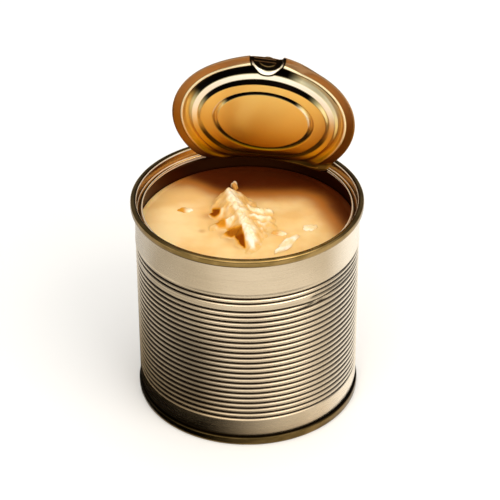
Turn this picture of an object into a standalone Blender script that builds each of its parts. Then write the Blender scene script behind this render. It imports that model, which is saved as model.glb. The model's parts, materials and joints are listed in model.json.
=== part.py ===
"""An opened squat tin of condensed soup: beaded body, bottom end, top ring with its
fixed shelf, the lid standing on its crease, the ring pull, the soup and the chicken.

Metres, +Z up. The origin is the centre of the can's base. The crease runs along X
behind the can's axis, so the lid stands at +Y and its inner face looks to -Y."""

import math

import bmesh
import bpy
from mathutils import Matrix, Quaternion, Vector

MM = 0.001

# Driving dimensions, in millimetres.
CAN_HEIGHT = 84.0
SEAM_RADIUS = 43.5  # outside of the top double seam
BODY_RADIUS = 42.0  # outside of the beaded wall
BODY_LINING = 41.0  # plain inside of the wall
THIN_WALL = 0.3  # wall where it enters a seam
SHEET = 0.4  # end and lid sheet
SIDES = 44

BEAD_PITCH = 2.306
BEAD_DEPTH = 0.55
BEAD_COUNT = 22  # the even run; two more beads stand above it
FIRST_BEAD_DROP = 23.45  # first bead of the even run, below the rim
UPPER_BEAD_DROPS = (17.7, 19.8)
BAND_STEP_DROP = 15.6  # shallow step under the plain upper band

SEAM_DROP = 3.1  # height of the top seam
SLOT_INNER = 41.5  # the slot in the seam that holds the wall's edge
SLOT_OUTER = 42.2
PANEL_DROP = 3.5  # the end's sheet, below the rim
APERTURE_RADIUS = 36.2
LID_RADIUS = 35.2
CREASE_BACK = 27.0  # hinge axis's distance behind the can's axis
SHELF_ENDS = 27.7  # the fold's edge on the shelf, where it meets the torn score
SHELF_BOW = 6.3  # the fold bows back by this much at its middle
SHELF_HALF = 24.9
# The lid's end at the fold and its lift towards the outside there, in the shut place:
# each is a + b x + c x^2, since the crease was wrung as the lid was pulled up.
LID_END = (28.6, -0.1175, -0.0036)
LID_LIFT = (6.0, -0.077, -0.0101)
LIFT_FROM = 14.0  # the sheet begins to curve back this far behind the axis
OPEN_ANGLE = 72.6  # degrees between the shut lid and where it stands
HINGE_TILT = 5.7  # the pulled crease rises by this many degrees towards -X

BASE_SEAM_RADIUS = 42.6
NECK_RADIUS = 41.3
BASE_SLOT_INNER = 40.8
BASE_SLOT_OUTER = 41.6
BASE_PANEL = 3.7

SOUP_DROP = 12.1
SOUP_RADIUS = 40.6
POCKET_GAP = 0.3
HEAP_TOP_DROP = 5.1  # the chicken stays under the shut lid

RIM = CAN_HEIGHT
SOUP_LEVEL = CAN_HEIGHT - SOUP_DROP
PANEL = CAN_HEIGHT - PANEL_DROP
HINGE = Vector((0.0, CREASE_BACK, PANEL)) * MM
HINGE_AXIS = Vector((-math.cos(math.radians(HINGE_TILT)), 0, math.sin(math.radians(HINGE_TILT))))


def clear_scene():
    for obj in list(bpy.data.objects):
        bpy.data.objects.remove(obj, do_unlink=True)


def linear(channel):
    return channel / 12.92 if channel <= 0.04045 else ((channel + 0.055) / 1.055) ** 2.4


def make_material(name, colour, metallic, roughness):
    """A Principled material from an sRGB hex colour."""
    material = bpy.data.materials.new(name)
    material.use_nodes = True
    shader = material.node_tree.nodes["Principled BSDF"]
    rgb = [linear(int(colour[i : i + 2], 16) / 255) for i in (0, 2, 4)]
    shader.inputs["Base Color"].default_value = (*rgb, 1.0)
    shader.inputs["Metallic"].default_value = metallic
    shader.inputs["Roughness"].default_value = roughness
    material.diffuse_color = (*rgb, 1.0)
    return material


def add_object(name, bm, material, parent=None):
    """Turns a bmesh in millimetres into a smooth-shaded object."""
    bmesh.ops.scale(bm, vec=(MM, MM, MM), verts=bm.verts)
    mesh = bpy.data.meshes.new(name)
    bm.to_mesh(mesh)
    bm.free()
    mesh.shade_smooth()
    mesh.set_sharp_from_angle(angle=math.radians(35))
    if material:
        mesh.materials.append(material)
    obj = bpy.data.objects.new(name, mesh)
    bpy.context.scene.collection.objects.link(obj)
    obj.parent = parent
    return obj


def face_outwards(bm):
    bmesh.ops.remove_doubles(bm, verts=bm.verts, dist=1e-4)
    bmesh.ops.recalc_face_normals(bm, faces=bm.faces)
    if bm.calc_volume(signed=True) < 0:
        bmesh.ops.reverse_faces(bm, faces=bm.faces)


def spin_profile(profile, closed, sides=SIDES):
    """Turns (radius, height) points about Z; a closed loop gives a ring."""
    bm = bmesh.new()
    points = [bm.verts.new((r, 0.0, z)) for r, z in profile]
    pairs = list(zip(points, points[1:]))
    if closed:
        pairs.append((points[-1], points[0]))
    edges = [bm.edges.new(pair) for pair in pairs]
    bmesh.ops.spin(
        bm, geom=points + edges, cent=(0, 0, 0), axis=(0, 0, 1), angle=math.tau, steps=sides
    )
    face_outwards(bm)
    return bm


def smooth(t):
    t = min(max(t, 0.0), 1.0)
    return t * t * (3 - 2 * t)


def blend_table(table, r):
    """Height at radius r between the (radius, height) corners of a pressed profile."""
    for (r0, h0), (r1, h1) in zip(table, table[1:]):
        if r0 <= r <= r1:
            return h0 + (h1 - h0) * (r - r0) / (r1 - r0)
    return table[-1][1]


def join_hidden(obj, others, solver="EXACT"):
    """Unites a collection of shapes with obj, applies it and removes the shapes."""
    group = bpy.data.collections.new("fused")
    bpy.context.scene.collection.children.link(group)
    for other in others:
        bpy.context.scene.collection.objects.unlink(other)
        group.objects.link(other)
    union = obj.modifiers.new("union", "BOOLEAN")
    union.operation = "UNION"
    union.operand_type = "COLLECTION"
    union.collection = group
    union.solver = solver
    bpy.context.view_layer.update()
    shape = obj.evaluated_get(bpy.context.evaluated_depsgraph_get())
    mesh = bpy.data.meshes.new_from_object(shape)
    obj.modifiers.clear()
    obj.data = mesh
    for other in others:
        bpy.data.objects.remove(other, do_unlink=True)
    bpy.data.collections.remove(group)


def cut(obj, cutter, name):
    cutter.hide_render = True
    cutter.display_type = "WIRE"
    difference = obj.modifiers.new(name, "BOOLEAN")
    difference.operation = "DIFFERENCE"
    difference.object = cutter


# The body


def body_profile():
    """The wall's outside with its beads, from the rim down, and its plain lining."""
    groove = BODY_RADIUS - BEAD_DEPTH
    top = RIM - 1.3
    outer = [(BODY_RADIUS, top), (BODY_RADIUS, RIM - BAND_STEP_DROP)]
    outer.append((BODY_RADIUS + 0.15, RIM - BAND_STEP_DROP - 0.5))
    drops = [(drop, 0.45) for drop in UPPER_BEAD_DROPS]
    drops += [(FIRST_BEAD_DROP + i * BEAD_PITCH, BEAD_PITCH / 2) for i in range(BEAD_COUNT)]
    for drop, rise in drops:
        outer += [(BODY_RADIUS, RIM - drop + rise), (groove, RIM - drop)]
    last = RIM - drops[-1][0]
    outer += [(BODY_RADIUS, last - 0.8), (BODY_RADIUS, 6.4)]
    outer += [(NECK_RADIUS, 4.6), (NECK_RADIUS, 1.1)]
    inner = [(NECK_RADIUS - THIN_WALL, 1.1), (BODY_LINING, RIM - 6.7)]
    inner += [(BODY_RADIUS - THIN_WALL, RIM - 6.0), (BODY_RADIUS - THIN_WALL, top)]
    return outer + inner


def make_body(tinplate):
    return add_object("can_body", spin_profile(body_profile(), True), tinplate)


# The bottom end


def make_bottom(tinplate):
    """Bottom seam, countersink and a panel with one expansion ring."""
    rise, ring = 0.6, ((31.4, 0.0), (32.0, 1.0), (33.4, 1.0), (34.0, 0.0))
    seam = [(40.6, 0.0), (42.2, 0.0), (BASE_SEAM_RADIUS, 0.4), (BASE_SEAM_RADIUS, 2.9)]
    seam += [(42.3, 3.3), (BASE_SLOT_OUTER, 3.3), (BASE_SLOT_OUTER, 0.8)]
    seam += [(BASE_SLOT_INNER, 0.8), (BASE_SLOT_INNER, 4.3)]
    top = BASE_PANEL + SHEET
    upper = [(40.4, 4.9), (39.0, 4.9), (38.5, top)]
    upper += [(r, top + rise * k) for r, k in reversed(ring)] + [(0.0, top)]
    lower = [(0.0, BASE_PANEL)] + [(r, BASE_PANEL + rise * k) for r, k in ring]
    lower += [(38.7, BASE_PANEL), (39.2, 4.5), (40.0, 4.5), (40.4, 4.0), (40.4, 0.2)]
    return add_object("can_bottom", spin_profile(lower + seam + upper, False), tinplate)


# The top ring


def ring_profile():
    """Double seam, chuck wall, countersink and the ledge that the lid was torn from."""
    seam = [(42.2, RIM - SEAM_DROP), (42.9, RIM - SEAM_DROP), (43.35, RIM - 2.8)]
    seam += [(SEAM_RADIUS, RIM - 2.2), (SEAM_RADIUS, RIM - 0.8), (43.1, RIM - 0.2)]
    seam += [(42.5, RIM), (41.8, RIM), (41.3, RIM - 0.3)]
    chuck = [(41.1, RIM - 1.0), (40.85, RIM - 3.9), (40.4, RIM - 4.5), (39.8, RIM - 4.5)]
    ledge_top = PANEL + SHEET / 2
    ledge = [(39.3, ledge_top - 0.3), (38.9, ledge_top), (APERTURE_RADIUS, ledge_top)]
    under = [(APERTURE_RADIUS, ledge_top - SHEET), (38.6, ledge_top - SHEET)]
    under += [(39.4, RIM - 4.9), (40.6, RIM - 4.95), (41.2, RIM - 4.4)]
    slot = [(SLOT_INNER, RIM - 1.0), (SLOT_OUTER, RIM - 1.0)]
    return seam + chuck + ledge + under + slot


def make_shelf():
    """The strip of the end behind the fold, between its bowed edge and the ledge."""
    steps, half = 12, SHEET / 2 - 0.03
    bm = bmesh.new()
    loops = []
    for i in range(steps + 1):
        x = 21.6 * (2 * i / steps - 1)
        near = SHELF_ENDS + SHELF_BOW * (1 - (x / SHELF_HALF) ** 2)
        far = math.sqrt((APERTURE_RADIUS + 0.8) ** 2 - x * x)
        corners = ((near, half), (near, -half), (far, -half), (far, half))
        loops.append([bm.verts.new((x, y, PANEL + z)) for y, z in corners])
    for a, b in zip(loops, loops[1:]):
        for i in range(4):
            j = (i + 1) % 4
            bm.faces.new((a[i], a[j], b[j], b[i]))
    bm.faces.new(loops[0])
    bm.faces.new(loops[-1])
    face_outwards(bm)
    return add_object("shelf", bm, None)


def make_ring(tinplate):
    ring = add_object("end_ring", spin_profile(ring_profile(), True), tinplate)
    join_hidden(ring, [make_shelf()])
    return ring


# The lid, in the shut place, with its mesh counted from the crease

# Height towards the soup at each radius: centre, groove, panel, crest, channel, flange.
LID_PRESSING = (
    (0.0, -0.3),
    (17.5, -0.3),
    (18.2, -0.9),
    (18.9, -0.9),
    (19.6, -0.3),
    (24.4, -0.3),
    (25.2, 0.4),
    (26.5, 0.3),
    (29.0, -1.4),
    (32.2, -1.2),
    (33.0, 0.0),
    (LID_RADIUS, 0.0),
)
TAB_NOTCH_HALF = 5.5  # the flange is pressed out where the tab's nose bears
RIVET_Y = -29.0
TAB_LOW, TAB_HIGH = PANEL + 1.85, PANEL + 2.75


def curve(terms, x):
    return terms[0] + terms[1] * x + terms[2] * x * x


def lid_height(x, y, r):
    """Height towards the soup: the pressing, less the curve back to the fold."""
    height = blend_table(LID_PRESSING, r)
    if abs(x) < TAB_NOTCH_HALF and y < RIVET_Y - 3:
        height = -1.2
    end = curve(LID_END, x)
    share = max(y - LIFT_FROM, 0.0) / (end - LIFT_FROM)
    return height * smooth((end - y) / 2.5) - max(curve(LID_LIFT, x), 0.0) * share**2


def lid_reach(angle):
    """The lid's extent from its centre at an angle: its circle, or the fold's curve."""
    if math.sin(angle) < 0.3:
        return LID_RADIUS
    low, high = 0.0, LID_RADIUS
    for _ in range(40):
        middle = (low + high) / 2
        past = middle * math.sin(angle) > curve(LID_END, middle * math.cos(angle))
        low, high = (low, middle) if past else (middle, high)
    return high


def to_hinge(bm):
    bmesh.ops.translate(bm, vec=-HINGE / MM, verts=bm.verts)


def make_rivet(material):
    """Stem and flat head, turned on the lid's outer side; it holds the tab."""
    profile = [(0, PANEL + 0.9), (1.6, PANEL + 0.9), (1.6, TAB_HIGH + 0.2)]
    profile += [(3.0, TAB_HIGH + 0.2), (3.0, TAB_HIGH + 0.5), (2.4, TAB_HIGH + 0.75)]
    profile += [(0, TAB_HIGH + 0.75)]
    bm = spin_profile(profile, False, 12)
    bmesh.ops.translate(bm, vec=(0, RIVET_Y, 0), verts=bm.verts)
    to_hinge(bm)
    return add_object("rivet", bm, material)


def make_lid(tinplate, hinge):
    """A pressed sheet: rings of points out to the circle or the fold, then a thickness."""
    bm = bmesh.new()
    spokes = []
    for i in range(SIDES):
        angle = math.tau * i / SIDES
        reach = lid_reach(angle)
        spoke = []
        for corner, _ in LID_PRESSING:
            r = min(corner, reach)
            x, y = r * math.cos(angle), r * math.sin(angle)
            spoke.append(bm.verts.new((x, y, PANEL - lid_height(x, y, r))))
        spokes.append(spoke)
    for a, b in zip(spokes, spokes[1:] + spokes[:1]):
        for k in range(len(LID_PRESSING) - 1):
            bm.faces.new((a[k], a[k + 1], b[k + 1], b[k]))
    bmesh.ops.remove_doubles(bm, verts=bm.verts, dist=1e-4)
    bmesh.ops.dissolve_degenerate(bm, dist=1e-4, edges=bm.edges)
    bmesh.ops.recalc_face_normals(bm, faces=bm.faces)
    to_hinge(bm)
    lid = add_object("lid_panel", bm, tinplate)
    sheet = lid.modifiers.new("sheet", "SOLIDIFY")
    sheet.thickness = SHEET * MM
    sheet.offset = 0
    join_hidden(lid, [make_rivet(tinplate)])
    lid.parent = hinge
    return lid


# The ring pull


def super_ellipse(angle, half_x, half_y, power):
    c, s = math.cos(angle), math.sin(angle)
    x = half_x * math.copysign(abs(c) ** (2 / power), c)
    return x, half_y * math.copysign(abs(s) ** (2 / power), s)


def make_tab(steel, hinge):
    """A flat ring: a nose under the rivet, a finger hole, both from super-ellipses."""
    steps, centre_y, hole_y = 24, -20.8, -15.6
    outer, inner = [], []
    for i in range(steps):
        angle = math.tau * i / steps
        x, y = super_ellipse(angle, 10.4, 13.6, 2.4)
        taper = 1 - 0.34 * smooth((-y - 2) / 11.6)
        outer.append((x * taper, centre_y + y))
        x, y = super_ellipse(angle, 7.2, 5.8, 2.2)
        inner.append((x, hole_y + y))
    bm = bmesh.new()
    loops = []
    for z in (TAB_LOW, TAB_HIGH):
        for outline in (outer, inner):
            loops.append([bm.verts.new((x, y, z)) for x, y in outline])
    low_outer, low_inner, high_outer, high_inner = loops
    bands = ((low_outer, low_inner), (low_inner, high_inner))
    bands += ((high_inner, high_outer), (high_outer, low_outer))
    for a, b in bands:
        for i in range(steps):
            j = (i + 1) % steps
            bm.faces.new((a[i], a[j], b[j], b[i]))
    face_outwards(bm)
    to_hinge(bm)
    tab = add_object("pull_tab", bm, steel, hinge)
    hole = spin_profile(
        [(0, TAB_LOW - 1), (2.0, TAB_LOW - 1), (2.0, TAB_HIGH + 1), (0, TAB_HIGH + 1)], False, 12
    )
    bmesh.ops.translate(hole, vec=(0, RIVET_Y, 0), verts=hole.verts)
    to_hinge(hole)
    cut(tab, add_object("rivet_hole_cutter", hole, None, hinge), "rivet hole")
    return tab


# The soup and the chicken

HEAP_CENTRE = (-3.0, -1.0)
HEAP_HALF = (11.8, 20.4)  # the core's half width and half length
HEAP_TURN = math.radians(16)
HEAP_DEPTH = 5.0  # the core under the soup's surface

# Each shard: foot x, foot y, turn in degrees, half length, half width, rise and where
# along its length the peak stands, from -1 to 1.
SHARDS = (
    (2.0, -11.5, 118, 9.5, 4.6, 6.8, 0.1),
    (-8.6, -9.6, 178, 6.2, 3.4, 5.2, -0.3),
    (-10.6, -2.4, 150, 5.4, 3.8, 6.0, -0.4),
    (-5.2, 1.4, 116, 9.6, 4.2, 6.6, 0.3),
    (-10.2, 10.8, 140, 6.6, 3.2, 6.9, -0.1),
    (1.6, 5.6, 20, 6.4, 1.7, 3.6, -0.3),
    (3.2, 1.2, 8, 5.8, 1.6, 3.2, -0.2),
    (2.6, 10.2, 30, 5.4, 1.5, 2.8, -0.4),
    (5.2, -4.6, 62, 4.4, 2.2, 3.0, 0.2),
)

# Bits with a pocket of their own: x, y, half length, half width, half height, turn.
BITS = {
    "chicken_tip_back": (-11.0, 24.2, 2.6, 2.0, 3.6, 70),
    "chicken_bit_left": (-24.6, 3.6, 3.4, 2.2, 1.7, 10),
    "chicken_bit_right": (13.6, -3.6, 2.6, 1.9, 1.8, -10),
    "chicken_shard_right": (17.2, -10.6, 6.4, 2.3, 2.2, 66),
    "chicken_bit_far_right": (23.6, 2.6, 2.8, 1.9, 1.6, 40),
}


def heap_outline(angle, grow=0.0):
    """The core's uneven outline at an angle: an ellipse with two slow waves."""
    wave = 1 + 0.07 * math.sin(3 * angle + 0.6) + 0.05 * math.sin(5 * angle + 2.1)
    x = (HEAP_HALF[0] * wave + grow) * math.cos(angle)
    y = (HEAP_HALF[1] * wave + grow) * math.sin(angle)
    c, s = math.cos(HEAP_TURN), math.sin(HEAP_TURN)
    return HEAP_CENTRE[0] + c * x - s * y, HEAP_CENTRE[1] + s * x + c * y


def stacked_rings(levels, steps=24):
    """A closed lump: the heap's outline shrunk to each (scale, height, grow) level."""
    bm = bmesh.new()
    rings = []
    for scale, z, grow in levels:
        ring = []
        for i in range(steps):
            x, y = heap_outline(math.tau * i / steps, grow)
            x = HEAP_CENTRE[0] + (x - HEAP_CENTRE[0]) * scale
            y = HEAP_CENTRE[1] + (y - HEAP_CENTRE[1]) * scale
            ring.append(bm.verts.new((x, y, z)))
        rings.append(ring)
    for a, b in zip(rings, rings[1:]):
        for i in range(steps):
            j = (i + 1) % steps
            bm.faces.new((a[i], a[j], b[j], b[i]))
    bm.faces.new(rings[0])
    bm.faces.new(rings[-1])
    face_outwards(bm)
    return bm


def make_shard(index, foot_x, foot_y, turn, half_length, half_width, rise, peak):
    """A wedge of chicken: an oval foot just clear of the soup and a short leaning ridge."""
    bm = bmesh.new()
    foot = SOUP_LEVEL + POCKET_GAP
    for i in range(10):
        angle = math.tau * i / 10
        bm.verts.new((half_length * math.cos(angle), half_width * math.sin(angle), foot))
    ridge = half_length * 0.38
    for along, lift in ((peak * half_length - ridge, 0.82), (peak * half_length + ridge, 1.0)):
        for side in (-0.12, 0.16):
            z = min(SOUP_LEVEL + rise * lift, RIM - HEAP_TOP_DROP)
            bm.verts.new((along, side * half_width, z - abs(side)))
    bmesh.ops.convex_hull(bm, input=bm.verts)
    place = Matrix.Translation((foot_x, foot_y, 0)) @ Matrix.Rotation(math.radians(turn), 4, "Z")
    bmesh.ops.transform(bm, matrix=place, verts=bm.verts)
    face_outwards(bm)
    return add_object(f"shard_{index}", bm, None)


def make_heap(chicken):
    levels = [(0.86, SOUP_LEVEL - HEAP_DEPTH, 0), (1.0, SOUP_LEVEL - HEAP_DEPTH + 1, 0)]
    levels += [(1.0, SOUP_LEVEL - 0.4, 0), (0.9, SOUP_LEVEL + 0.3, 0)]
    levels += [(0.6, SOUP_LEVEL + 1.5, 0), (0.25, SOUP_LEVEL + 2.2, 0)]
    heap = add_object("chicken_heap", stacked_rings(levels), chicken)
    join_hidden(heap, [make_shard(i, *shard) for i, shard in enumerate(SHARDS)])
    return heap


def make_bit(name, size, grow, material):
    """A rounded crumb of chicken, or its pocket when grown, set into the surface."""
    x, y, half_length, half_width, half_height, turn = size
    bm = bmesh.new()
    bmesh.ops.create_uvsphere(bm, u_segments=10, v_segments=6, radius=1.0)
    for vert in bm.verts:
        vert.co *= 1 + 0.08 * math.sin(4 * vert.co.x + 3 * vert.co.y)
    scale = Matrix.Diagonal((half_length + grow, half_width + grow, half_height + grow, 1))
    turned = Matrix.Rotation(math.radians(turn), 4, "Z")
    bmesh.ops.transform(
        bm, matrix=Matrix.Translation((x, y, SOUP_LEVEL)) @ turned @ scale, verts=bm.verts
    )
    face_outwards(bm)
    return add_object(name, bm, material)


def make_soup(cream, chicken):
    """The soup up to its level, cut round each piece of chicken."""
    profile = [(0, BASE_PANEL + 1.5), (SOUP_RADIUS, BASE_PANEL + 1.5)]
    profile += [(SOUP_RADIUS, SOUP_LEVEL), (SOUP_RADIUS - 4, SOUP_LEVEL - 0.1), (0, SOUP_LEVEL)]
    soup = add_object("soup", spin_profile(profile, False), cream)
    levels = [(0.86, SOUP_LEVEL - HEAP_DEPTH - POCKET_GAP, POCKET_GAP)]
    levels += [(1.0, SOUP_LEVEL - HEAP_DEPTH + 1 - POCKET_GAP, POCKET_GAP)]
    levels += [(1.0, SOUP_LEVEL + 3, POCKET_GAP)]
    cut(soup, add_object("heap_pocket", stacked_rings(levels), None), "heap pocket")
    for name, size in BITS.items():
        make_bit(name, size, 0, chicken)
        cut(soup, make_bit(name + "_pocket", size, POCKET_GAP, None), name)
    return soup


def main():
    clear_scene()
    tinplate = make_material("tinplate", "D8C4A6", 1.0, 0.28)
    lacquer = make_material("gold_lacquered_tinplate", "C8964A", 1.0, 0.3)
    steel = make_material("tab_steel", "9A9288", 1.0, 0.35)
    cream = make_material("cream_soup", "E9BE82", 0.0, 0.3)
    chicken = make_material("chicken", "F2DDB4", 0.0, 0.5)

    hinge = bpy.data.objects.new("lid_hinge", None)
    hinge.location = HINGE
    hinge.rotation_mode = "QUATERNION"
    hinge.rotation_quaternion = Quaternion(HINGE_AXIS, math.radians(OPEN_ANGLE))
    bpy.context.scene.collection.objects.link(hinge)

    make_body(tinplate)
    make_bottom(tinplate)
    make_ring(tinplate)
    make_lid(lacquer, hinge)
    make_tab(steel, hinge)
    make_soup(cream, chicken)
    make_heap(chicken)


main()
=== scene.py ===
import json
import math

import bpy
import numpy as np
from mathutils import Matrix, Vector


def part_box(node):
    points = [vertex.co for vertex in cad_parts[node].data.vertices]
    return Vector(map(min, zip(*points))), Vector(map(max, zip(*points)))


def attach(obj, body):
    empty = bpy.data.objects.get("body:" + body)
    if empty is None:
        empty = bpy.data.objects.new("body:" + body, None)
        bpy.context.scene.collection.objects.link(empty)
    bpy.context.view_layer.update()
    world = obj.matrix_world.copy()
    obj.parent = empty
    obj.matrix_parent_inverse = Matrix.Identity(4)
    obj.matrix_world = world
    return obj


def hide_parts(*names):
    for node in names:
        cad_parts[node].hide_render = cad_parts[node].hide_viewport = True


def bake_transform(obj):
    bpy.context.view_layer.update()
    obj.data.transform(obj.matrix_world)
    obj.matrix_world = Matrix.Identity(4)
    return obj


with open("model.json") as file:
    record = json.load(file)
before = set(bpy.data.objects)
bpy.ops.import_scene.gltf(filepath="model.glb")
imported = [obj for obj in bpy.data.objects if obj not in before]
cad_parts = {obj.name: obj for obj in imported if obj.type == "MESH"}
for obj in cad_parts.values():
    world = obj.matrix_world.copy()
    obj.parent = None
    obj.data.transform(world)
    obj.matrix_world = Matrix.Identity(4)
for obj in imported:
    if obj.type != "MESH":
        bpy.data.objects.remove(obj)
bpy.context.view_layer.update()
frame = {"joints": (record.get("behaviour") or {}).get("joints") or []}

mm = 0.001
tau = 2 * np.pi
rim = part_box("end_ring")[1].z / mm  # heights and radii below are in millimetres
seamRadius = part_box("end_ring")[1].x / mm
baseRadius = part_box("can_bottom")[1].x / mm
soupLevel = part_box("soup")[1].z / mm
hinge = np.array(frame["joints"][0]["pos_m"]) / mm
shutPanel = hinge[2]  # height of the lid's sheet when the lid is shut
cameraSettings = {
    "distance": 0.6588,  # level distance from the can's axis
    "height": 0.4983,
    "azimuth": 14,
    "pitch": 33.63,
    "roll": -0.316,
    "lens": 150.7,
    "shiftX": 0.0052,
}
print("frame loaded: rim", round(rim, 1), "soup", round(soupLevel, 1))


# numbers and curves


def smooth(t):
    # 3t^2 - 2t^3 between 0 and 1
    t = np.clip(t, 0, 1)
    return t * t * (3 - 2 * t)


def bump(x, centre, width):
    # a bell of height 1 round the centre
    return np.exp(-(((x - centre) / width) ** 2))


def ripples(x, y, wavelength, seed):
    # a slow random field from about -1 to 1: sine waves of like length in seeded directions
    rng = np.random.default_rng(seed)
    count, total = 14, 0
    for _ in range(count):
        heading, phase = rng.uniform(0, tau, 2)
        length = wavelength * rng.uniform(0.7, 1.6)
        total = total + np.sin((x * np.cos(heading) + y * np.sin(heading)) * tau / length + phase)
    return total / count**0.5 / 1.4


def rotated(x, y, degrees):
    # the level point turned anticlockwise about the axis
    turn = math.radians(degrees)
    return x * math.cos(turn) - y * math.sin(turn), x * math.sin(turn) + y * math.cos(turn)


def asSeen(x, y):
    # level distances to the right and to the back, as the camera stands
    return rotated(x, y, -cameraSettings["azimuth"])


def band(value, low, high, soft):
    # 1 between low and high, with soft sides
    return smooth((value - low) / soft + 0.5) * smooth((high - value) / soft + 0.5)


def past(value, start, over):
    # 0 up to the start, 1 from this far beyond it on
    return smooth((value - start) / over)


def anglesRound(steps):
    return np.linspace(0, tau, steps, endpoint=False)[None, :]


def filleted(corners, steps):
    # a closed outline of (radius, height, fillet): each corner gives way to a curve that
    # begins and ends a fillet's length from it
    corners = np.array(corners, float)
    places, cuts = corners[:, :2], corners[:, 2:3]
    before, after = np.roll(places, 1, 0) - places, np.roll(places, -1, 0) - places
    enter = places + before * np.minimum(cuts / np.linalg.norm(before, axis=1, keepdims=True), 0.5)
    leave = places + after * np.minimum(cuts / np.linalg.norm(after, axis=1, keepdims=True), 0.5)
    t = np.linspace(0, 1, steps)[None, :, None]
    curve = (1 - t) ** 2 * enter[:, None] + 2 * t * (1 - t) * places[:, None] + t * t * leave[:, None]
    return curve.reshape(-1, 2)


# meshes


def addObject(name, data):
    thing = bpy.data.objects.new(name, data)
    bpy.context.scene.collection.objects.link(thing)
    return thing


def pieceFromGrid(name, grid, wrapRows=False, wrapCols=True, slots=(), slotOfRow=None, sharp=None, **fields):
    # a grid of points in millimetres becomes quads, and a row that shrinks to a point a fan
    # of triangles; the signed volume turns faces outwards; edges over sharp degrees are crisp
    rows, cols = grid.shape[:2]
    index = np.arange(rows * cols).reshape(rows, cols)
    for row in (0, rows - 1):
        if np.ptp(grid[row], axis=0).max() < 1e-6:
            index[row] = index[row, 0]
    if wrapRows:
        index = np.vstack([index, index[:1]])
    if wrapCols:
        index = np.hstack([index, index[:, :1]])
    quads = np.stack([index[:-1, :-1], index[1:, :-1], index[1:, 1:], index[:-1, 1:]], -1)
    faceRow = np.repeat(np.arange(quads.shape[0]), quads.shape[1])
    quads = quads.reshape(-1, 4)
    points = grid.reshape(-1, 3) * mm
    a, b, c, d = (points[quads[:, i]] for i in range(4))
    volume = (a * np.cross(b, c)).sum() + (a * np.cross(c, d)).sum()
    if volume < 0:
        quads = quads[:, ::-1]
    used, first = np.unique(quads, return_inverse=True)
    quads = first.reshape(quads.shape)
    firstPole = quads[:, 0] == quads[:, 3]
    lastPole = (quads[:, 1] == quads[:, 2]) & ~firstPole
    whole = ~(firstPole | lastPole)
    faces = quads[whole].tolist() + quads[firstPole][:, :3].tolist()
    faces += quads[lastPole][:, [0, 1, 3]].tolist()
    mesh = bpy.data.meshes.new(name)
    mesh.from_pydata(points[used].tolist(), [], faces)
    for field, values in fields.items():
        layer = mesh.attributes.new(field, "FLOAT", "POINT")
        spread = np.broadcast_to(values, (rows, cols)).reshape(-1)[used]
        layer.data.foreach_set("value", spread.astype(np.float32))
    for slot in slots:
        mesh.materials.append(slot)
    if slotOfRow is not None:
        order = np.concatenate([faceRow[whole], faceRow[firstPole], faceRow[lastPole]])
        mesh.polygons.foreach_set("material_index", np.asarray(slotOfRow)[order].astype(np.int32))
    mesh.shade_smooth()
    mesh.update()
    if sharp:
        mesh.set_sharp_from_angle(angle=math.radians(sharp))
    return addObject(name, mesh)


def turned(radius, height, angle):
    # a profile turned about the can's axis: columns, or grids that vary with the angle
    return np.stack(np.broadcast_arrays(radius * np.cos(angle), radius * np.sin(angle), height), -1)


def standUp(grid):
    # from the shut place to the open one: turned about the lid's hinge axis
    turn = Matrix.Rotation(math.radians(lidSettings["openAngle"]), 3, Vector(frame["joints"][0]["axis"]))
    return (grid - hinge) @ np.array(turn).T + hinge


# materials


def toLinear(hexColour):
    c = np.array([int(hexColour[i : i + 2], 16) for i in (0, 2, 4)]) / 255
    linear = np.where(c <= 0.04045, c / 12.92, ((c + 0.055) / 1.055) ** 2.4)
    return (*linear.tolist(), 1)


def addNode(tree, kind, settings=None, **inputs):
    # inputs are values or sockets, under their socket's name with _ for a space, or inN
    node = tree.nodes.new(kind)
    for key, value in (settings or {}).items():
        setattr(node, key, value)
    for key, value in inputs.items():
        numbered = key[:2] == "in" and key[2:].isdigit()
        socket = node.inputs[int(key[2:])] if numbered else node.inputs[key.replace("_", " ")]
        if isinstance(value, bpy.types.NodeSocket):
            tree.links.new(value, socket)
        else:
            socket.default_value = value
    return node


def newMaterial(name, **values):
    material = bpy.data.materials.new(name)
    material.use_nodes = True
    tree = material.node_tree
    shader = tree.nodes["Principled BSDF"]
    for key, value in values.items():
        shader.inputs[key.replace("_", " ")].default_value = value
    return material, tree, shader


def mixColours(tree, factor, first, second):
    # each colour is a hex value, a linear colour or a socket
    first, second = (toLinear(c) if isinstance(c, str) else c for c in (first, second))
    mix = addNode(tree, "ShaderNodeMix", {"data_type": "RGBA"}, in0=factor, in6=first, in7=second)
    return mix.outputs[2]


def stretchedNoise(tree, scale, detail, stretch=(1, 1, 1)):
    # noise on Object coordinates; scale counts features in a metre before the stretch
    place = addNode(tree, "ShaderNodeTexCoord")
    mapped = addNode(tree, "ShaderNodeMapping", Vector=place.outputs["Object"], Scale=stretch)
    noise = addNode(tree, "ShaderNodeTexNoise", Vector=mapped.outputs[0], Scale=scale, Detail=detail)
    return noise.outputs["Fac"]


def ranged(tree, value, low, high, toLow=0, toHigh=1):
    node = addNode(tree, "ShaderNodeMapRange", {"interpolation_type": "SMOOTHSTEP"}, Value=value,
                   in1=low, in2=high, in3=toLow, in4=toHigh)
    return node.outputs[0]


def dotWith(tree, vector, direction):
    node = addNode(tree, "ShaderNodeVectorMath", {"operation": "DOT_PRODUCT"}, in0=vector, in1=direction)
    return node.outputs["Value"]


def fieldOf(tree, name):
    return addNode(tree, "ShaderNodeAttribute", {"attribute_name": name}).outputs["Fac"]


def feed(shader, **sockets):
    # links each socket to the shader's input of that name
    for key, socket in sockets.items():
        shader.id_data.links.new(socket, shader.inputs[key.replace("_", " ")])


def bumpFrom(tree, height, distance, strength):
    return addNode(tree, "ShaderNodeBump", Height=height, Distance=distance, Strength=strength).outputs[0]


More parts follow.
